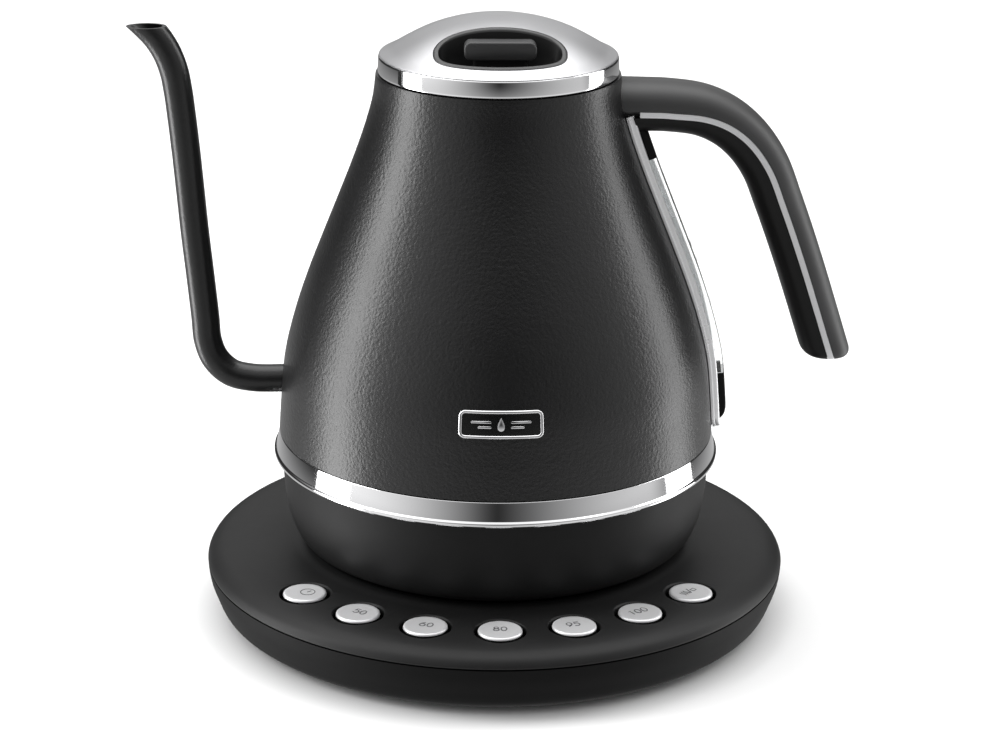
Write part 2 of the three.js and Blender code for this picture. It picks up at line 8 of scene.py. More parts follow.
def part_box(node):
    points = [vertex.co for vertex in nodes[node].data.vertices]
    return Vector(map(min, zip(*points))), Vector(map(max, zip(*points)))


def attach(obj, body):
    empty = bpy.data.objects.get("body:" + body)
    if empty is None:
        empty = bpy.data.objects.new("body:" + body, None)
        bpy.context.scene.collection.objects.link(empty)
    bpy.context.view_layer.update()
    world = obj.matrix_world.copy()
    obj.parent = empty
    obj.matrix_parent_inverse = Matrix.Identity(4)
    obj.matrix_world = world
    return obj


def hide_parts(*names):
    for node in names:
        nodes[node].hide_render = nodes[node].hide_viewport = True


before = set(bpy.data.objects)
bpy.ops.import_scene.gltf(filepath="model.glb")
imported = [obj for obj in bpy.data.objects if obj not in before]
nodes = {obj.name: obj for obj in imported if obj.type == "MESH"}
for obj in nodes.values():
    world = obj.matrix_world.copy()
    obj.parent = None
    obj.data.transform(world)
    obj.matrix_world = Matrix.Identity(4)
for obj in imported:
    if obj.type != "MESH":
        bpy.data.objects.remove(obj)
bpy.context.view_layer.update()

# ------------------------------------------------------------------ shared sizes
MM = 0.001
ROUND = 192            # segments round the large turned pieces
TURN = 2 * math.pi

KEY_NAMES = ["power", "50", "60", "80", "95", "100", "hold"]

# Outer wall of the vessel, as [radius, height] in millimetres, bottom to top.
BODY = [
    (87.2, 76), (86.05, 92), (84.4, 108), (80.2, 125), (75.2, 140), (69.4, 155),
    (63.4, 170), (57.5, 185), (52.2, 200), (48.9, 212), (47.5, 223),
]
BODY_FOOT_Z = 77.1
BODY_RIM_Z = 221.6
# The lid's dome, outer edge to crown.
DOME = [(46.5, 228.9), (42.5, 230.9), (38.8, 233.1), (31.1, 237.3), (22, 240.8), (10, 243.5), (0, 244.2)]
HANDLE = [
    (44, 209.4), (56, 209.2), (66, 208.9), (79.2, 207), (89.4, 202.3), (97.9, 194.9), (104.9, 184.8),
    (110.6, 170.9), (118.9, 148.4), (131.7, 110), (137, 94),
]
SPOUT = [
    (-70, 96.1), (-86, 96.1), (-98, 96.3), (-106.5, 98.6), (-112.4, 104.4), (-115.2, 112), (-116, 122),
    (-117.6, 140), (-119.2, 157), (-120.6, 175), (-121.8, 190), (-123.2, 205), (-124.2, 214),
    (-125.8, 222), (-128.8, 229), (-132.8, 234.9), (-137.4, 239.6), (-143, 244.6), (-150, 250),
]


# ------------------------------------------------------------------ curves in the plane
def spline(points, steps=8):
    """Points of a centripetal Catmull-Rom curve through the given ones."""
    first = tuple(2 * a - b for a, b in zip(points[0], points[1]))
    last = tuple(2 * a - b for a, b in zip(points[-1], points[-2]))
    knots = [Vector(p) for p in (first, *points, last)]
    made = []
    for i in range(1, len(knots) - 2):
        p0, p1, p2, p3 = knots[i - 1:i + 3]
        t1 = (p1 - p0).length ** 0.5
        t2 = t1 + (p2 - p1).length ** 0.5
        t3 = t2 + (p3 - p2).length ** 0.5
        for k in range(steps):
            t = t1 + (t2 - t1) * k / steps
            a1 = p0 * ((t1 - t) / t1) + p1 * (t / t1)
            a2 = p1 * ((t2 - t) / (t2 - t1)) + p2 * ((t - t1) / (t2 - t1))
            a3 = p2 * ((t3 - t) / (t3 - t2)) + p3 * ((t - t2) / (t3 - t2))
            b1 = a1 * ((t2 - t) / t2) + a2 * (t / t2)
            b2 = a2 * ((t3 - t) / (t3 - t1)) + a3 * ((t - t1) / (t3 - t1))
            made.append(b1 * ((t2 - t) / (t2 - t1)) + b2 * ((t - t1) / (t2 - t1)))
    made.append(knots[-2])
    return made


def rounded(outline, radius, steps=4, closed=True):
    """The outline with each corner replaced by a short curve."""
    made = []
    count = len(outline)
    for i, corner in enumerate(outline):
        point = Vector(corner)
        if not closed and i in (0, count - 1):
            made.append(point)
            continue
        before = Vector(outline[i - 1]) - point
        after = Vector(outline[(i + 1) % count]) - point
        reach = min(radius, 0.45 * before.length, 0.45 * after.length)
        start = point + before.normalized() * reach
        end = point + after.normalized() * reach
        for k in range(steps + 1):
            t = k / steps
            made.append(start * (1 - t) ** 2 + point * 2 * t * (1 - t) + end * t * t)
    return made


def value_at(table, height):
    """Radius at a height on a dense list of (radius, height) points."""
    low, high = (0, len(table) - 1) if table[0][1] < table[-1][1] else (len(table) - 1, 0)
    while abs(high - low) > 1:
        middle = (low + high) // 2
        if table[middle][1] <= height:
            low = middle
        else:
            high = middle
    a, b = table[low], table[high]
    share = (height - a[1]) / (b[1] - a[1])
    return a[0] + (b[0] - a[0]) * share


body_line = spline(BODY, 12)
dome_line = spline(DOME, 12)


def body_radius(z):
    return value_at(body_line, z)


def body_slope(z):
    """Angle of the body's outward normal above the horizontal."""
    return math.atan2(body_radius(z - 0.5) - body_radius(z + 0.5), 1)


def dome_height(radius):
    turned_table = [(z, r) for r, z in dome_line]
    return value_at(turned_table, min(radius, DOME[0][0]))


# ------------------------------------------------------------------ mesh makers
def make_object(name, verts, faces, sharp=35):
    mesh = bpy.data.meshes.new(name)
    mesh.from_pydata([tuple(c * MM for c in v) for v in verts], [], faces)
    bm = bmesh.new()
    bm.from_mesh(mesh)
    bmesh.ops.remove_doubles(bm, verts=bm.verts, dist=1e-7)
    bmesh.ops.recalc_face_normals(bm, faces=bm.faces)
    bm.to_mesh(mesh)
    bm.free()
    shade(mesh, sharp)
    obj = bpy.data.objects.new(name, mesh)
    bpy.context.scene.collection.objects.link(obj)
    return obj


def shade(mesh, sharp=35):
    mesh.polygons.foreach_set("use_smooth", [True] * len(mesh.polygons))
    mesh.set_sharp_from_angle(angle=math.radians(sharp))


def turned(name, outline, segments=ROUND, closed=True, centre=(0, 0), sharp=35):
    """A piece turned about a vertical axis from (radius, height) points."""
    verts, faces, rings = [], [], []
    for r, z in outline:
        if r < 1e-6:
            rings.append([len(verts)])
            verts.append((centre[0], centre[1], z))
            continue
        rings.append(list(range(len(verts), len(verts) + segments)))
        for k in range(segments):
            a = TURN * k / segments
            verts.append((centre[0] + r * math.cos(a), centre[1] + r * math.sin(a), z))
    pairs = list(zip(rings, rings[1:]))
    if closed:
        pairs.append((rings[-1], rings[0]))
    for a, b in pairs:
        faces += bridge(a, b)
    return make_object(name, verts, faces, sharp)


def bridge(a, b):
    """Faces between two closed rings of vertex numbers; a ring of one is a pole."""
    if len(a) == 1 and len(b) == 1:
        return []
    count = max(len(a), len(b))
    made = []
    for k in range(count):
        j = (k + 1) % count
        if len(a) == 1:
            made.append((a[0], b[j], b[k]))
        elif len(b) == 1:
            made.append((a[k], a[j], b[0]))
        else:
            made.append((a[k], a[j], b[j], b[k]))
    return made


def lofted(name, rings, caps=True, sharp=35):
    """A closed piece through rings of points, with flat ends."""
    verts = [p for ring in rings for p in ring]
    size = len(rings[0])
    index = [list(range(i * size, (i + 1) * size)) for i in range(len(rings))]
    faces = [f for a, b in zip(index, index[1:]) for f in bridge(a, b)]
    if caps:
        faces += [tuple(reversed(index[0])), tuple(index[-1])]
    return make_object(name, verts, faces, sharp)


def cut_with(obj, cutters):
    """Cuts solids out of obj and throws the cutters away."""
    for cutter in cutters:
        step = obj.modifiers.new("cut", "BOOLEAN")
        step.operation = "DIFFERENCE"
        step.solver = "EXACT"
        step.object = cutter
    bpy.context.view_layer.update()
    evaluated = obj.evaluated_get(bpy.context.evaluated_depsgraph_get())
    mesh = bpy.data.meshes.new_from_object(evaluated)
    obj.modifiers.clear()
    obj.data = mesh
    for cutter in cutters:
        bpy.data.objects.remove(cutter)
    bm = bmesh.new()
    bm.from_mesh(mesh)
    bmesh.ops.remove_doubles(bm, verts=bm.verts, dist=2e-7)
    bmesh.ops.dissolve_degenerate(bm, edges=bm.edges, dist=1e-7)
    bm.to_mesh(mesh)
    bm.free()
    shade(mesh)
    return obj


def rounded_rectangle(half_a, half_b, radius, steps=8):
    made = []
    for quarter, (sa, sb) in enumerate([(1, 1), (-1, 1), (-1, -1), (1, -1)]):
        for k in range(steps + 1):
            angle = (quarter + k / steps) * math.pi / 2
            made.append((
                sa * (half_a - radius) + radius * math.cos(angle),
                sb * (half_b - radius) + radius * math.sin(angle),
            ))
    return made


def place(obj, body, slot, material, *replaced):
    obj.data.materials.clear()
    obj.data.materials.append(material)
    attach(obj, body)
    if replaced:
        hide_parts(*replaced)
    return obj


# ------------------------------------------------------------------ materials
def material(name, colour, roughness, metallic=0.0, **sockets):
    made = bpy.data.materials.new(name)
    made.use_nodes = True
    shader = made.node_tree.nodes["Principled BSDF"]
    shader.inputs["Base Color"].default_value = (*colour, 1)
    shader.inputs["Roughness"].default_value = roughness
    shader.inputs["Metallic"].default_value = metallic
    for key, value in sockets.items():
        shader.inputs[key.replace("_", " ")].default_value = value
    return made


def node(mat, kind, **settings):
    made = mat.node_tree.nodes.new(kind)
    for key, value in settings.items():
        if key in made.inputs:
            made.inputs[key].default_value = value
        else:
            setattr(made, key, value)
    return made


def link(mat, source, target):
    mat.node_tree.links.new(source, target)


def object_coordinates(mat, scale=(1, 1, 1)):
    coordinates = node(mat, "ShaderNodeTexCoord")
    mapping = node(mat, "ShaderNodeMapping")
    mapping.inputs["Scale"].default_value = scale
    link(mat, coordinates.outputs["Object"], mapping.inputs["Vector"])
    return mapping.outputs["Vector"]


def noise(mat, vector, scale, detail=3.0, rough=0.5, distortion=0.0):
    made = node(mat, "ShaderNodeTexNoise")
    made.inputs["Scale"].default_value = scale
    made.inputs["Detail"].default_value = detail
    made.inputs["Roughness"].default_value = rough
    made.inputs["Distortion"].default_value = distortion
    link(mat, vector, made.inputs["Vector"])
    return made.outputs["Fac"]


def remap(mat, value, low, high):
    made = node(mat, "ShaderNodeMapRange")
    made.inputs["To Min"].default_value = low
    made.inputs["To Max"].default_value = high
    link(mat, value, made.inputs["Value"])
    return made.outputs["Result"]


def tint(mat, value, dark, light, low=0.3, high=0.7):
    """Colour that moves between two shades with a texture value."""
    ramp = node(mat, "ShaderNodeValToRGB")
    ramp.color_ramp.elements[0].position = low
    ramp.color_ramp.elements[0].color = (*dark, 1)
    ramp.color_ramp.elements[1].position = high
    ramp.color_ramp.elements[1].color = (*light, 1)
    link(mat, value, ramp.inputs["Fac"])
    link(mat, ramp.outputs["Color"], mat.node_tree.nodes["Principled BSDF"].inputs["Base Color"])


def bump(mat, height, strength, distance, under=None):
    made = node(mat, "ShaderNodeBump")
    made.inputs["Strength"].default_value = strength
    made.inputs["Distance"].default_value = distance
    link(mat, height, made.inputs["Height"])
    if under is not None:
        link(mat, under, made.inputs["Normal"])
    return made.outputs["Normal"]


def set_normal(mat, normal):
    link(mat, normal, mat.node_tree.nodes["Principled BSDF"].inputs["Normal"])


def set_roughness(mat, value):
    link(mat, value, mat.node_tree.nodes["Principled BSDF"].inputs["Roughness"])


def pebbled_paint(name, grain, height):
    """Semi-gloss black paint with a leather-like pebble; grain is in pebbles per metre."""
    mat = material(name, (0.005, 0.005, 0.005), 0.32, IOR=1.5)
    vector = object_coordinates(mat)
    cells = node(mat, "ShaderNodeTexVoronoi", feature="SMOOTH_F1")
    cells.inputs["Scale"].default_value = grain
    cells.inputs["Smoothness"].default_value = 0.9
    bend = node(mat, "ShaderNodeMixRGB", blend_type="ADD")
    bend.inputs["Fac"].default_value = 1.6 / grain
    wobble = node(mat, "ShaderNodeTexNoise")
    wobble.inputs["Scale"].default_value = grain * 0.55
    wobble.inputs["Detail"].default_value = 2
    link(mat, vector, wobble.inputs["Vector"])
    link(mat, vector, bend.inputs["Color1"])
    link(mat, wobble.outputs["Color"], bend.inputs["Color2"])
    link(mat, bend.outputs["Color"], cells.inputs["Vector"])
    soft = noise(mat, vector, grain * 0.8, 3, 0.55, 0.4)
    normal = bump(mat, cells.outputs["Distance"], 0.55, height)
    normal = bump(mat, soft, 0.6, height * 1.3, normal)
    set_normal(mat, normal)
    tint(mat, noise(mat, vector, 14), (0.0042, 0.0042, 0.0044), (0.006, 0.006, 0.0062))
    set_roughness(mat, remap(mat, noise(mat, vector, 60), 0.27, 0.35))
    return mat


def moulded_black(name, shade_value, roughness, grain=2200, gloss=0.5):
    """Matte moulded or soft-touch black with a very fine spark and faint handling marks."""
    low = shade_value * 0.85
    high = shade_value * 1.2
    mat = material(name, (shade_value,) * 3, roughness, Specular_IOR_Level=gloss)
    vector = object_coordinates(mat)
    tint(mat, noise(mat, vector, 22, 4), (low, low, low), (high, high, high * 1.02))
    set_roughness(mat, remap(mat, noise(mat, vector, 45, 5), roughness - 0.06, roughness + 0.05))
    set_normal(mat, bump(mat, noise(mat, vector, grain, 2), 0.25, 0.00002))
    return mat


def metal(name, colour, rough_low, rough_high, brushing=None, depth=0.000004, metallic=1.0):
    """Metal with smudged gloss; brushing stretches its fine scratches along an axis."""
    mat = material(name, colour, rough_low, metallic)
    vector = object_coordinates(mat)
    set_roughness(mat, remap(mat, noise(mat, vector, 35, 5), rough_low, rough_high))
    if brushing:
        lines = object_coordinates(mat, brushing)
        set_normal(mat, bump(mat, noise(mat, lines, 1, 2), 0.3, depth))
    return mat


body_paint = pebbled_paint("body_paint", 800, 0.00013)
spout_paint = pebbled_paint("spout_paint", 1250, 0.00007)
cover_black = moulded_black("cover_black", 0.008, 0.52, 2200, 0.28)
# under_black is darker and far less glossy than cover_black. It is partly the plastic's own black and partly
# painted shade for the dim underside of the base. Gauge caps, key bodies and hidden parts share it.
under_black = moulded_black("under_black", 0.0035, 0.6, 2200, 0.12)
skirt_black = moulded_black("skirt_black", 0.006, 0.55, 2200, 0.18)
# The handle's two shells take lit and shaded copies of one soft-touch black: painted light on the upper
# shell, painted shade on the lower shell.
grip_painted_light = moulded_black("grip_painted_light", 0.03, 0.5)
grip_painted_shade = moulded_black("grip_painted_shade", 0.004, 0.45, 2200, 0.25)
recess_black = moulded_black("recess_black", 0.006, 0.4)
rim_grey = moulded_black("rim_grey", 0.035, 0.42)
gloss_black = moulded_black("gloss_black", 0.004, 0.18)
bar_grey = moulded_black("bar_grey", 0.03, 0.4)
frame_chrome = metal("frame_chrome", (0.86, 0.86, 0.87), 0.24, 0.32, None, 0, 0.75)
chrome = metal("chrome", (0.86, 0.86, 0.87), 0.03, 0.09)
dome_steel = metal("dome_steel", (0.5, 0.5, 0.51), 0.34, 0.44, (1400, 25, 1400))
key_silver = metal("key_silver", (0.83, 0.83, 0.84), 0.36, 0.46, (2600, 60, 2600), 0.000003, 0.5)
satin_silver = metal("satin_silver", (0.74, 0.74, 0.75), 0.36, 0.46, (3000, 60, 60), 0.000003, 0.7)
plain_steel = metal("plain_steel", (0.6, 0.6, 0.61), 0.18, 0.3, (400, 400, 30))
cast_aluminium = metal("cast_aluminium", (0.6, 0.6, 0.61), 0.4, 0.55)
brass = metal("brass", (0.8, 0.55, 0.2), 0.15, 0.3)
rubber = moulded_black("rubber", 0.012, 0.8, 900)
silicone = material("silicone", (0.66, 0.66, 0.63), 0.5, Subsurface_Weight=0.2)
board = material("board", (0.02, 0.11, 0.045), 0.45)
legend_grey = material("legend_grey", (0.09, 0.09, 0.095), 0.5)
window_clear = material("window_clear", (0.9, 0.91, 0.91), 0.06, Transmission_Weight=1.0, IOR=1.46)
mark_black = material("mark_black", (0.01, 0.01, 0.01), 0.5)

CARRIED = {
    plain_steel: ["neck_ring", "boiler_floor", "heating_element", "temperature_probe"]
    + [f"base_screw_{i}" for i in (1, 2, 3, 4)] + [f"bottom_screw_{i}" for i in (1, 2, 3)],
    cast_aluminium: ["heat_plate", "handle_core"],
    brass: ["dock_contact_ring", "dock_center_pin"],
    rubber: [f"base_foot_{i}" for i in (1, 2, 3, 4)] + ["cord_gland"],
    silicone: ["gauge_seal", "lid_seal"],
    board: ["control_board", "power_board"],
    gloss_black: ["button_guide", "buzzer", "relay", "thermal_cutout"],
    under_black: ["dock_tray", "dock_connector", "kettle_socket", "bottom_cover", "lid_inner_cover"],
}
for finish, names in CARRIED.items():
    for name in names:
        nodes[name].data.materials.clear()
        nodes[name].data.materials.append(finish)


# ------------------------------------------------------------------ power base
KEY_TOP_Z = 29.2
KEY_STEP = 16.93


def make_base():
    shoulder = spline([
        (117, 21.75), (117.08, 22.4), (115.8, 24.8), (112.6, 26.8), (108.5, 27.9), (103.5, 28.5),
    ], 6)
    collar = spline([(86, 28.8), (81.5, 29.1), (77.8, 29.9), (74.6, 30.1), (72.6, 29.3), (71.7, 26.6)], 6)
    inside = [(73, 26.5), (103, 26.2), (108, 25.6), (112.2, 24.2), (114.7, 22.6), (114.8, 21.75)]
    cover = turned("base_cover", [*shoulder, *collar, *inside])
    cutters = []
    for name in KEY_NAMES:
        low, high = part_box("button_" + name)
        middle = (low + high) / 2 / MM
        outline = [(0, 22), (10, 22), (10, 28), (10.08, 28.35), (10.3, 28.6), (10.7, 28.75),
                   (11.2, 29.4), (11.2, 32), (0, 32)]
        cutters.append(turned("key_cutter", outline, 72, True, (middle.x, middle.y)))
    cut_with(cover, cutters)
    place(cover, "power_base", "matte_black_plastic", cover_black, "base_top_cover")

    flare = spline([(108.7, 2.5), (112.2, 5.5), (114.6, 11), (116.3, 16), (117.08, 21.05)], 6)
    outline = [(0, 2.5), (107.6, 2.5), *flare[1:-1], (117, 21.1), (114.7, 21.1), (113.8, 16), (112, 10.8),
               (107, 4.9), (0, 4.9)]
    underbody = turned("base_underbody", outline)
    gland_low, gland_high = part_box("cord_gland")
    gland_z = (gland_low.z + gland_high.z) / 2 / MM
    hole = turned("gland_hole", [(0, -8), (4.8, -8), (4.8, 8), (0, 8)], 48)
    for vertex in hole.data.vertices:
        x, y, z = vertex.co
        vertex.co = (x, z + 0.113, y + gland_z * MM)
    cut_with(underbody, [hole])
    # The underbody's darker, duller black is partly painted shade.
    place(underbody, "power_base", "matte_black_plastic", under_black, "base_bottom_cover")


def legend_strokes(name):
    """Lines of a key's legend as lists of (x, y) points in millimetres, y away from the viewer."""
    def arc(cx, cy, rx, ry, start, end, steps=20):
        return [(cx + rx * math.cos(math.radians(start + (end - start) * k / steps)),
                 cy + ry * math.sin(math.radians(start + (end - start) * k / steps)))
                for k in range(steps + 1)]
    digits = {
        "0": [arc(0, 0, 0.95, 1.5, 0, 360)],
        "1": [[(-0.6, 0.95), (0.15, 1.5), (0.15, -1.5)]],
        "5": [[(0.85, 1.5), (-0.6, 1.5), (-0.75, 0.15), *arc(-0.1, -0.45, 1, 1.05, 110, -140, 16)]],
        "6": [[(0.6, 1.5), (-0.1, 0.95), (-0.8, 0.1), *arc(0, -0.5, 0.95, 1, 150, -210, 24)]],
        "8": [arc(0, 0.75, 0.75, 0.75, 0, 360), arc(0, -0.72, 0.95, 0.8, 0, 360)],
        "9": [[(-0.6, -1.5), (0.1, -0.95), (0.8, -0.1), *arc(0, 0.5, 0.95, 1, -30, 330, 24)]],
    }
    if name == "power":
        return [arc(0, 0, 2.5, 2.5, 0, 360, 40), [(0, -0.2), (0, 1.5)]]
    if name == "hold":
        waves = [[(x + 0.3 * math.sin(k / 12 * TURN), -1.5 + 3 * k / 12) for k in range(13)]
                 for x in (-3, -1.9, -0.8)]
        cup = [(1.6, 0.2), (1.8, -1.4), (3.2, -1.4), (3.4, 0.2), (1.6, 0.2)]
        return [*waves, [(0, -1.6), (1.3, 1.6)], cup]
    strokes = []
    for i, digit in enumerate(name):
        shift = (i - (len(name) - 1) / 2) * 2.6
        strokes += [[(x + shift, y) for x, y in line] for line in digits[digit]]
    return strokes


def flat_stroke(verts, faces, line, half, low, high):
    """Adds a thin flat-topped bar that follows a line of points."""
    closed = (Vector(line[0]) - Vector(line[-1])).length < 1e-6
    points = [Vector(p) for p in (line[:-1] if closed else line)]
    count = len(points)
    start = len(verts)
    for i, p in enumerate(points):
        before = points[i - 1] if closed or i else p
        after = points[(i + 1) % count] if closed or i < count - 1 else p
        along = (after - before).normalized()
        side = Vector((-along.y, along.x)) * half
        for q, z in ((p + side, low), (p - side, low), (p - side, high), (p + side, high)):
            verts.append((q.x, q.y, z))
    for i in range(count if closed else count - 1):
        a, b = start + 4 * i, start + 4 * ((i + 1) % count)
        faces += [(a + k, a + (k + 1) % 4, b + (k + 1) % 4, b + k) for k in range(4)]
    if not closed:
        end = start + 4 * (count - 1)
        faces += [(start + 3, start + 2, start + 1, start), (end, end + 1, end + 2, end + 3)]


def make_keys():
    for i, name in enumerate(KEY_NAMES):
        low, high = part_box("button_" + name)
        middle = (low + high) / 2 / MM
        dish = [(0, KEY_TOP_Z - 0.42), (3, KEY_TOP_Z - 0.38), (5.4, KEY_TOP_Z - 0.26), (6.9, KEY_TOP_Z - 0.1),
                (7.55, KEY_TOP_Z), (8.0, KEY_TOP_Z - 0.06), (8.32, KEY_TOP_Z - 0.3), (8.46, KEY_TOP_Z - 0.75)]
        face = [(0, 28.2), (8.46, 28.2), *reversed(dish)]
        cap = turned("key_" + name, face, 96, False, (middle.x, middle.y), 50)
        place(cap, "key_" + name, "key_silver", key_silver, "button_" + name)
        stem = [
            (0, 16.8), (3, 16.8), (3, 25.9), (8.5, 25.9), (8.6, 26.1), (8.6, 28.1), (8.5, 28.2), (0, 28.2),
        ]
        place(turned("key_body_" + name, stem, 72, False, (middle.x, middle.y)),
              "key_" + name, "gloss_black_plastic", under_black)

        turn = math.radians((i - 3) * KEY_STEP)
        verts, faces = [], []
        for line in legend_strokes(name):
            flat_stroke(verts, faces, line, 0.17 if name == "power" else 0.2,
                        KEY_TOP_Z - 0.5, KEY_TOP_Z - 0.3)
        moved = []
        for x, y, z in verts:
            x, y = 1.12 * x, 1.12 * y + 1.4
            moved.append((middle.x + x * math.cos(turn) - y * math.sin(turn),
                          middle.y + x * math.sin(turn) + y * math.cos(turn), z))
        mark = make_object("legend_" + name, moved, faces)
        place(mark, "key_" + name, "key_silver", legend_grey)


# ------------------------------------------------------------------ vessel
def make_vessel():
    top = [p for p in body_line if BODY_FOOT_Z < p[1] < BODY_RIM_Z]
    outside = [(body_radius(BODY_FOOT_Z), BODY_FOOT_Z), *[tuple(p) for p in top],
               (body_radius(BODY_RIM_Z) - 0.1, BODY_RIM_Z)]
    inside = [(r - 1.2, z) for r, z in reversed(outside)]
    outline = [*outside, *inside[:-1], (84, 76), (84, 72), (85.2, 72), (85.2, 77)]
    shell = turned("vessel", outline, 256)
    bore = turned("spout_bore", [(0, -6), (4.4, -6), (4.4, 6), (0, 6)], 48)
    for vertex in bore.data.vertices:
        x, y, z = vertex.co
        vertex.co = (z - 0.085, y, x + 0.0961)
    cut_with(shell, [bore])
    place(shell, "kettle", "textured_black_paint", body_paint, "body_shell")

    skirt = [*spline([(85.9, 66.6), (85.3, 53), (83.3, 42), (79.6, 34.2), (76, 31.8), (72.6, 31)], 8),
             *rounded([(71.6, 30.9), (69.6, 28), (66.8, 20.4), (64.6, 18.4), (57.8, 18.4)], 1, 3, False),
             (57.8, 21.3), (50, 21.3), (50, 23.5), (64.4, 23.5), (69, 33.5), (77.4, 35.6), (80.9, 43),
             (82.8, 53.4), (83.4, 66.6)]
    place(turned("skirt", skirt), "kettle", "matte_black_plastic", skirt_black, "lower_skirt")

    ring = rounded([(84.2, 67), (89.1, 67), (89.4, 68.6), (88.5, 69.3), (88.4, 69.8), (86.9, 76.7),
                    (85.6, 76.7), (85.6, 68.7), (84.2, 68.7)], 0.7, 4)
    place(turned("skirt_ring", ring, 256), "kettle", "polished_chrome", chrome, "trim_ring")


def on_body(angle, z, offset):
    """A point on the body's outer wall, lifted off it along the wall's normal."""
    tilt = body_slope(z)
    r = body_radius(z) + offset * math.cos(tilt)
    return (r * math.cos(angle), r * math.sin(angle), z + offset * math.sin(tilt))


def make_plaque():
    """A plain plate in a chrome rim, with a raised droplet between two pairs of bars."""
    middle_z, half_s, half_h = 107, 15.8, 5.3

    profile = [(0, 0.05), (0, 1.3), (0.25, 1.62), (0.65, 1.7), (1.05, 1.62), (1.3, 1.3), (1.3, 0.05)]
    rings = []
    for inset, offset in profile:
        ring = [on_body(-math.pi / 2 + s / body_radius(middle_z), middle_z + h, offset)
                for s, h in dense_loop(half_s, half_h, 2.4, inset)]
        rings.append(ring)
    verts = [p for ring in rings for p in ring]
    size = len(rings[0])
    index = [list(range(i * size, (i + 1) * size)) for i in range(len(rings))]
    faces = [f for a, b in zip(index, index[1:] + index[:1]) for f in bridge(a, b)]
    place(make_object("plaque_rim", verts, faces, 50), "kettle", "polished_chrome", chrome, "badge_rim")

    rings = [[on_body(-math.pi / 2 + share * s / body_radius(middle_z), middle_z + share * h, offset)
              for s, h in dense_loop(half_s, half_h, 2.4, 1.4)]
             for share, offset in ((1, 0.1), (1, 1.1), (0.8, 1.1), (0.55, 1.1), (0.3, 1.1), (0.08, 1.1))]
    place(lofted("plaque_plate", rings), "kettle", "gloss_black_plastic", gloss_black, "badge_plate")

    drop = []
    for k in range(40):
        a = TURN * k / 40
        drop.append((1.75 * math.sin(a) * math.sin(a / 2) ** 1.3, 2.5 * math.cos(a) + 0.15))
    marks = [drop]
    for side in (-1, 1):
        for inner, outer, height in ((3.6, 11.2, 0.95), (3.6, 8.6, -0.95)):
            shape = rounded_rectangle((outer - inner) / 2, 0.42, 0.4, 4)
            marks.append([(side * (inner + outer) / 2 + s, height + h) for s, h in shape])
    for number, shape in enumerate(marks):
        centre = [sum(p[i] for p in shape) / len(shape) for i in (0, 1)]
        rings = []
        for share, offset in ((1, 1.0), (1, 1.3), (0.88, 1.38), (0.1, 1.38)):
            rings.append([on_body(-math.pi / 2
                                  + (centre[0] + share * (s - centre[0])) / body_radius(middle_z),
                                  middle_z + centre[1] + share * (h - centre[1]), offset) for s, h in shape])
        place(lofted(f"plaque_mark_{number + 1}", rings, True, 40), "kettle", "polished_chrome", chrome)


def dense_loop(half_s, half_h, corner, inset):
    """A rounded rectangle with points all the way along its sides, the same number at every inset."""
    shape = rounded_rectangle(half_s - inset, half_h - inset, max(corner - inset, 0.5), 6)
    dense = []
    for i, (s0, h0) in enumerate(shape):
        s1, h1 = shape[(i + 1) % len(shape)]
        steps = 1 if (i + 1) % 7 else (20 if (i // 7) % 2 == 0 else 6)
        dense += [(s0 + (s1 - s0) * k / steps, h0 + (h1 - h0) * k / steps) for k in range(steps)]
    return dense


# ------------------------------------------------------------------ spout
def make_spout():
    path = spline([(-83.6, 96.1), *SPOUT[2:13],
                   (-125.6, 222), (-128.1, 229), (-131.6, 234.9), (-135.8, 239.6),
                   (-141, 244.6), (-147, 250)], 8)
    rings_out, rings_in = [], []
    for i, p in enumerate(path):
        along = (path[min(i + 1, len(path) - 1)] - path[max(i - 1, 0)]).normalized()
        across = Vector((-along.y, along.x))
        for rings, radius in ((rings_out, 5.6), (rings_in, 4.5)):
            ring = []
            for k in range(48):
                a = TURN * k / 48
                q = p + across * radius * math.cos(a)
                ring.append((q.x, radius * math.sin(a), q.y))
            rings.append(ring)
    rings = [*rings_out, *reversed(rings_in)]
    verts = [p for ring in rings for p in ring]
    index = [list(range(i * 48, (i + 1) * 48)) for i in range(len(rings))]
    faces = [f for a, b in zip(index, index[1:] + index[:1]) for f in bridge(a, b)]
    tube = make_object("spout", verts, faces)
    above = make_object("above", [(x, y, z) for z in (239.3, 262) for x, y in
                                  ((-175, -20), (-95, -20), (-95, 20), (-175, 20))],
                        [(3, 2, 1, 0), (4, 5, 6, 7), (0, 1, 5, 4), (1, 2, 6, 5), (2, 3, 7, 6), (3, 0, 4, 7)])
    cut_with(tube, [above])
    place(tube, "kettle", "textured_black_paint", spout_paint, "spout_tube")


# ------------------------------------------------------------------ handle
HANDLE_END_Z = 107.6
HALF_WIDTH = 13


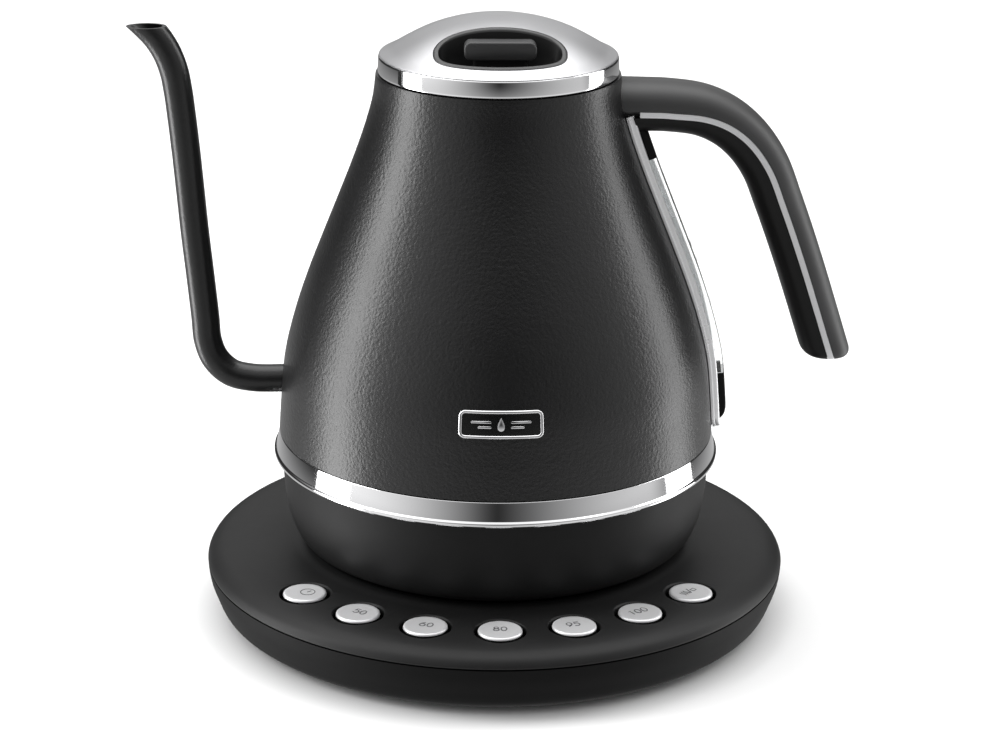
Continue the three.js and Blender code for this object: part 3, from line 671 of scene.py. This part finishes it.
def handle_frames():
    """Places along the handle: position, depth direction, depth half-size, inset and seam depth."""
    path = spline([(40, 209.5), *HANDLE[1:]], 10)
    frames = []
    for i, p in enumerate(path[:-1]):
        along = (path[i + 1] - path[max(i - 1, 0)]).normalized()
        outward = Vector((-along.y, along.x))
        if outward.y < 0 and outward.x < 0:
            outward = -outward
        if p.y <= HANDLE_END_Z + 0.6:
            continue
        fade = min(1, max(0, (150 - p.y) / 34))
        fade = fade * fade * (3 - 2 * fade)
        depth = outward + along * (-outward.y / along.y) * fade if p.x > 90 else outward
        bend = min(1, max(0, (p.x - 68) / 32))
        seam = -1.6 + 2.3 * bend * bend * (3 - 2 * bend)
        frames.append((p, depth, 10.1 - 0.8 * i / len(path), 0, seam))
    half, seam = frames[-1][2], frames[-1][4]
    along = (path[-1] - path[-4]).normalized()
    flat = Vector((1, 0)) / abs(Vector((1, 0)).dot(Vector((-along.y, along.x))))
    frames = [f for f in frames if f[0].y > HANDLE_END_Z + 4.4]
    for k in range(7):
        a = k / 6 * math.pi / 2
        z = HANDLE_END_Z + 3.6 * (1 - math.sin(a))
        base = path[-1] + along * ((z - path[-1].y) / along.y)
        frames.append((base, flat, half, 3 * (1 - math.cos(a)), seam))
    return frames


def arc_points(half_w, half_d, d_from, d_to, count=28, power=2.5):
    """Points of the superellipse side between two depths on +Y, over the top if d_to is beyond it."""
    def turn_of(d):
        share = max(-1, min(1, d / half_d))
        return math.copysign(math.asin(abs(share) ** (power / 2)), share)
    start, end = turn_of(d_from), turn_of(d_to)
    made = []
    for k in range(count + 1):
        a = start + (end - start) * k / count
        made.append((half_w * abs(math.cos(a)) ** (2 / power),
                     math.copysign(half_d * abs(math.sin(a)) ** (2 / power), math.sin(a))))
    return made


def handle_sweep(name, section):
    """section(half_width, half_depth, seam) gives a closed outline of (y, depth) points."""
    rings = []
    for p, depth, half, inset, seam in handle_frames():
        shape = section(HALF_WIDTH - inset, half - inset, seam)
        rings.append([(p.x + depth.x * d, y, p.y + depth.y * d) for y, d in shape])
    return lofted(name, rings, True, 40)


def body_core():
    return turned("core", [(0, 60), *[(r - 0.5, z) for r, z in body_line], (0, 223)], 192)


def handle_hollow():
    rings = []
    for p, depth, _half, _inset, _seam in handle_frames():
        if p.y > 113.5:
            rings.append([(p.x + depth.x * d, y, p.y + depth.y * d) for y, d in
                          rounded_rectangle(9.2, 5.6, 1.5, 3)])
    return lofted("hollow", rings)


def make_handle():
    groove = 1.3

    def shell_section(w, d, seam, side):
        """Half of the handle's section on one side of the seam, with a tongue that meets the other half."""
        edge = seam + side * groove
        right = arc_points(w, d, edge, side * d)
        left = [(-y, depth) for y, depth in reversed(right)]
        meet = seam + side * 0.08
        return [*right, *left[1:], (-(w - 2.5), edge), (-(w - 2.5), meet), (w - 2.5, meet), (w - 2.5, edge)]

    def block(x_low, x_high):
        corners = [(x_low, -20), (x_high, -20), (x_high, 20), (x_low, 20)]
        return lofted("block", [[(x, y, z) for x, y in corners] for z in (60, 240)])

    outer = handle_sweep("handle_outer", lambda w, d, seam: shell_section(w, d, seam, 1))
    cut_with(outer, [body_core(), handle_hollow()])
    # The upper shell takes the lighter copy, painted light from above.
    place(outer, "kettle", "soft_touch_black", grip_painted_light, "handle_upper_shell")

    inner = handle_sweep("handle_inner", lambda w, d, seam: shell_section(w, d, seam, -1))
    frame_room = along_gauge("frame_room", [190, 195, 200, 203, GAUGE_TOP_Z + 0.2],
                             lambda _z: [(14, -3), (14, 3.7), (-14, 3.7), (-14, -3)])
    cut_with(inner, [body_core(), handle_hollow(), frame_room])
    # The lower shell takes the darker copy, painted shade.
    place(inner, "kettle", "soft_touch_black", grip_painted_shade, "handle_lower_shell")

    for side, name in ((-1, "front"), (1, "back")):
        def strip(w, d, seam, side=side):
            edge = arc_points(w - 0.12, d, seam - 1.12, seam + 1.12, 4)
            shape = [*edge, (w - 2.4, seam + 1.12), (w - 2.4, seam - 1.12)]
            return [(side * y, depth) for y, depth in shape]
        bar = handle_sweep("handle_line_" + name, strip)
        cut_with(bar, [block(0, 54.5)])
        place(bar, "kettle", "satin_silver", satin_silver, "handle_strip_" + name)


# ------------------------------------------------------------------ water gauge
def along_gauge(name, heights, section):
    """A piece that runs up the body on the handle's side; section(z) gives (sideways, off-wall) points."""
    rings = []
    for z in heights:
        rings.append([on_body(s / body_radius(z), z, offset) for s, offset in section(z)])
    return lofted(name, rings, True, 40)


def steps_between(low, high, step=3.0, ends=(0, 0.3, 0.8, 1.6, 2.6)):
    inner = [low + e for e in ends] + [high - e for e in reversed(ends)]
    count = max(1, round((high - low - 2 * ends[-1]) / step))
    middle = [low + ends[-1] + (high - low - 2 * ends[-1]) * k / count for k in range(1, count)]
    return inner[:len(ends)] + middle + inner[len(ends):]


def crowned(half, low, high, edge=0.8):
    """A strip's section with softened outer edges."""
    return [(half, low), (half, high - edge), (half - 0.25 * edge, high - 0.3 * edge), (half - edge, high),
            (-half + edge, high), (-half + 0.25 * edge, high - 0.3 * edge),
            (-half, high - edge), (-half, low)]


GAUGE_TOP_Z = 206.2


def make_gauge():
    low, high = 78, GAUGE_TOP_Z

    def frame_section(z):
        corner = 5
        inset = 0
        if z < low + corner:
            inset = corner - math.sqrt(corner ** 2 - (corner - (z - low)) ** 2)
        half = 12 - inset
        return [(half, 0.3), (half, 1.2), (half - 0.25, 1.5), (half - 0.85, 1.6), (half - 0.9, 2.8),
                (half - 1.15, 3.2), (half - 1.6, 3.4), (1.6 - half, 3.4), (1.15 - half, 3.2),
                (0.9 - half, 2.8), (0.85 - half, 1.6), (0.25 - half, 1.5), (-half, 1.2), (-half, 0.3)]
    frame_piece = along_gauge("gauge_surround", steps_between(low, high), frame_section)
    opening = along_gauge("opening", steps_between(81.2, 204, 4),
                          lambda z: [(8, -1.2), (8, 6), (-8, 6), (-8, -1.2)])
    cut_with(frame_piece, [opening])
    place(frame_piece, "kettle", "satin_silver", frame_chrome, "gauge_frame")

    def pane_section(_z):
        return [*crowned(7.7, 1.6, 6.1, 1.1), (-6.4, 1.6), (-6.4, 4.8), (6.4, 4.8), (6.4, 1.6)]
    pane = along_gauge("gauge_pane", steps_between(100.6, 187.5), pane_section)
    place(pane, "kettle", "clear_window", window_clear, "gauge_window")

    def cap(name, bottom, top, old):
        def section(z):
            end = z - bottom if name == "gauge_foot" else top - z
            drop = 3.2 * (1 - math.sqrt(max(0, 1 - (1 - min(end, 6) / 6) ** 2)))
            return crowned(7.7, 0.35, 6.1 - drop, 1.1)
        piece = along_gauge(name, steps_between(bottom, top, 2), section)
        place(piece, "kettle", "matte_black_plastic", under_black, old)
    cap("gauge_foot", 81.2, 100.4, "gauge_end_cap")
    cap("gauge_head", 187.8, 200.6, "gauge_top_cap")

    for number, (z, half) in enumerate(((150.5, 3.4), (144, 2), (127.5, 3.4))):
        tick = along_gauge(f"gauge_mark_{number + 1}", [z - 0.35, z + 0.35],
                           lambda _z, half=half: [(half, 6.05), (half, 6.18), (-half, 6.18), (-half, 6.05)])
        place(tick, "kettle", "gloss_black_plastic", mark_black)


# ------------------------------------------------------------------ lid
RECESS_Y = -25.8


def recess_outline(grow, count=120):
    """Outline of the finger recess seen from above, fuller at the back than at the front."""
    made = []
    for k in range(count):
        a = TURN * k / count
        ca, sa = math.cos(a), math.sin(a)
        power, half = (2.85, 10.6) if sa > 0 else (2.0, 15.6)
        shape_power = power + (2.3 - power) * abs(ca) ** 6 if sa > 0 else 2.0 + 0.3 * abs(ca) ** 6
        made.append(((25.5 + grow) * math.copysign(abs(ca) ** (2 / shape_power), ca),
                     RECESS_Y + (half + grow) * math.copysign(abs(sa) ** (2 / shape_power), sa)))
    return made


def over_dome(outline, lift):
    return [(x, y, dome_height(math.hypot(x, y)) + lift) for x, y in outline]


def make_lid():
    band = rounded([(42, 222), (46.8, 222), (46.9, 222.7), (46.6, 228.2), (46, 228.75), (43.6, 228.5),
                    (43.6, 223.6), (42, 223.6)], 0.4, 3)
    place(turned("lid_collar", band, 256), "lid", "polished_chrome", chrome, "lid_band")

    outer = [tuple(p) for p in dome_line[:-1]]
    outline = [(46.4, 228.8), *outer[1:], (0, 244.2), (0, 243.2), *[(max(r - 0.3, 0.5), z - 1) for r, z in
               reversed(outer[2:])], (45.4, 228.8)]
    dome = turned("lid_dome", outline, 256)
    rim = recess_outline(0)
    cutter = lofted("cutter", [[(x, y, z) for x, y in rim] for z in (220, 250)])
    cut_with(dome, [cutter])
    place(dome, "lid", "brushed_steel", dome_steel, "lid_cover")

    profile = [
        (-0.15, -2.6), (-0.15, -0.2), (-0.35, 0.06), (-0.9, 0.12), (-1.6, 0.02), (-2.0, -0.3), (-2.1, -0.9),
    ]
    rings = [over_dome(recess_outline(grow), lift) for grow, lift in profile]
    rings.append([(x, y, min(z, 229.5)) for x, y, z in over_dome(recess_outline(-2.6), -6)])
    rings.append([(x, y, 227) for x, y in recess_outline(-3.4)])
    rings.append([(x, y, 226.4) for x, y in recess_outline(-4.4)])
    rings.append([(x * 0.5, RECESS_Y + (y - RECESS_Y) * 0.4, 226.4) for x, y in recess_outline(-4.4)])
    rings.append([(x * 0.05, RECESS_Y + (y - RECESS_Y) * 0.05, 226.4) for x, y in recess_outline(-4.4)])
    rings.append([(x * 0.05, RECESS_Y + (y - RECESS_Y) * 0.05, 224.9) for x, y in recess_outline(-4.4)])
    rings.append([(x, y, 224.9) for x, y in recess_outline(-3.4)])
    rings.append([(x, y, 226.2) for x, y in recess_outline(-1.2)])
    verts = [p for ring in rings for p in ring]
    size = len(rings[0])
    index = [list(range(i * size, (i + 1) * size)) for i in range(len(rings))]
    faces = [f for a, b in zip(index, index[1:] + index[:1]) for f in bridge(a, b)]
    tub = make_object("lid_recess", verts, faces, 40)
    place(tub, "lid", "matte_black_plastic", recess_black, "lid_well")
    tub.data.materials.append(rim_grey)
    for face in tub.data.polygons:
        if face.center.z > 0.2305 and face.index // size < 6:
            face.material_index = 1

    bm = bmesh.new()
    bmesh.ops.create_cube(bm, size=1)
    low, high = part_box("lid_grip")
    centre = (low + high) / 2
    for vertex in bm.verts:
        vertex.co = (centre.x + vertex.co.x * 0.0274, centre.y + vertex.co.y * 0.0074,
                     0.2361 + vertex.co.z * 0.007)
    upright = [e for e in bm.edges if abs((e.verts[0].co - e.verts[1].co).y) > 0.001]
    bmesh.ops.bevel(bm, geom=upright, offset=0.0026, segments=6, affect="EDGES", profile=0.5)
    outer_edges = [e for e in bm.edges if len(e.link_faces) == 2 and e.calc_face_angle() > 1.2]
    bmesh.ops.bevel(bm, geom=outer_edges, offset=0.0007, segments=3, affect="EDGES", profile=0.5)
    mesh = bpy.data.meshes.new("lid_bar")
    bm.to_mesh(mesh)
    bm.free()
    shade(mesh, 40)
    bar = bpy.data.objects.new("lid_bar", mesh)
    bpy.context.scene.collection.objects.link(bar)
    place(bar, "lid", "soft_touch_black", bar_grey, "lid_grip")

    stem_y = centre.y / MM + 0.4
    stem = lofted("lid_bar_stem", [[(x, stem_y + y, z) for x, y in rounded_rectangle(10.4, 1.9, 1.6, 5)]
                                   for z in (226.5, 233.2)])
    place(stem, "lid", "matte_black_plastic", recess_black)


# ------------------------------------------------------------------ camera, light, floor
def make_stage():
    """The camera stands in front of the kettle, a little to its left, and looks down on it."""
    distance = 1.0685
    height = 0.4673
    turn = math.radians(-1.4)
    pitch = math.radians(19.04)
    roll = math.radians(0.47)
    data = bpy.data.cameras.new("camera")
    data.lens = 102.03
    data.sensor_width = 36
    camera = bpy.data.objects.new("camera", data)
    bpy.context.scene.collection.objects.link(camera)
    camera.location = (distance * math.sin(turn), -distance * math.cos(turn), height)
    forward = Vector((-math.sin(turn) * math.cos(pitch), math.cos(turn) * math.cos(pitch), -math.sin(pitch)))
    camera.rotation_mode = "QUATERNION"
    aim = forward.to_track_quat("-Z", "Y")
    spin = Quaternion((0, 0, 1), roll)
    camera.rotation_quaternion = aim @ spin
    data.clip_end = 50
    bpy.context.scene.camera = camera

    mesh = bpy.data.meshes.new("floor")
    half = 6
    corners = [(-half, -half, 0), (half, -half, 0), (half, half, 0), (-half, half, 0)]
    mesh.from_pydata(corners, [], [(0, 1, 2, 3)])
    floor = bpy.data.objects.new("floor", mesh)
    bpy.context.scene.collection.objects.link(floor)
    mesh.materials.append(material("floor_white", (0.82, 0.82, 0.82), 0.9, Specular_IOR_Level=0.0))
    floor.visible_glossy = False
    floor.visible_shadow = False

    def softbox(name, where, size, radiance, aim_at=(0, 0, 0.12)):
        data = bpy.data.lights.new(name, "AREA")
        data.shape = "RECTANGLE"
        data.size, data.size_y = size
        data.energy = radiance * math.pi * size[0] * size[1]
        lamp = bpy.data.objects.new(name, data)
        bpy.context.scene.collection.objects.link(lamp)
        lamp.location = where
        lamp.visible_camera = False
        lamp.rotation_mode = "QUATERNION"
        lamp.rotation_quaternion = (Vector(aim_at) - Vector(where)).to_track_quat("-Z", "Y")
    softbox("left_softbox", (-1.35, -0.02, 0.3), (0.55, 2.6), 7, (0, 0, 0.3))
    softbox("right_softbox", (1.35, 0.33, 0.3), (0.55, 2.6), 3.8, (0, 0, 0.3))
    softbox("top_softbox", (0, 0.5, 1.9), (2.6, 1.8), 2.2)
    softbox("back_softbox", (0, 1.5, 0.62), (1.3, 0.6), 0.6)

    world = bpy.data.worlds.new("world")
    bpy.context.scene.world = world
    world.use_nodes = True
    tree = world.node_tree
    tree.nodes["Background"].inputs["Color"].default_value = (1, 1, 1, 1)
    coordinates = tree.nodes.new("ShaderNodeTexCoord")
    split = tree.nodes.new("ShaderNodeSeparateXYZ")
    tree.links.new(coordinates.outputs["Generated"], split.inputs["Vector"])

    def ramp(value, start, end, low, high):
        step = tree.nodes.new("ShaderNodeMapRange")
        step.interpolation_type = "SMOOTHSTEP"
        for key, number in (("From Min", start), ("From Max", end), ("To Min", low), ("To Max", high)):
            step.inputs[key].default_value = number
        tree.links.new(value, step.inputs["Value"])
        return step.outputs["Result"]

    def combine(operation, a, b):
        step = tree.nodes.new("ShaderNodeMath")
        step.operation = operation
        for socket, value in zip(step.inputs, (a, b)):
            if isinstance(value, (int, float)):
                socket.default_value = value
            else:
                tree.links.new(value, socket)
        return step.outputs["Value"]

    # Dark straight ahead, brighter to both sides of the front, dark behind, bright overhead.
    side = combine("POWER", combine("ABSOLUTE", split.outputs["X"], 0), 1.4)
    front = ramp(split.outputs["Y"], -0.15, 0.3, 0.95, 0)
    lopsided = ramp(split.outputs["X"], -0.3, 0.3, 1.08, 0.7)
    lower = ramp(split.outputs["Z"], -0.25, 0.05, 0.5, 1)
    walls = combine("MULTIPLY", combine("MULTIPLY", side, front), combine("MULTIPLY", lopsided, lower))
    table = ramp(split.outputs["Z"], 0, -0.4, 0, 0.55)
    ceiling = ramp(split.outputs["Z"], 0.35, 0.95, 0.03, 1.1)
    total = combine("ADD", combine("ADD", walls, table), ceiling)
    tree.links.new(total, tree.nodes["Background"].inputs["Strength"])
    bpy.context.scene.view_settings.view_transform = "Standard"


make_stage()
make_base()
make_keys()
make_vessel()
make_plaque()
make_spout()
make_handle()
make_gauge()
make_lid()
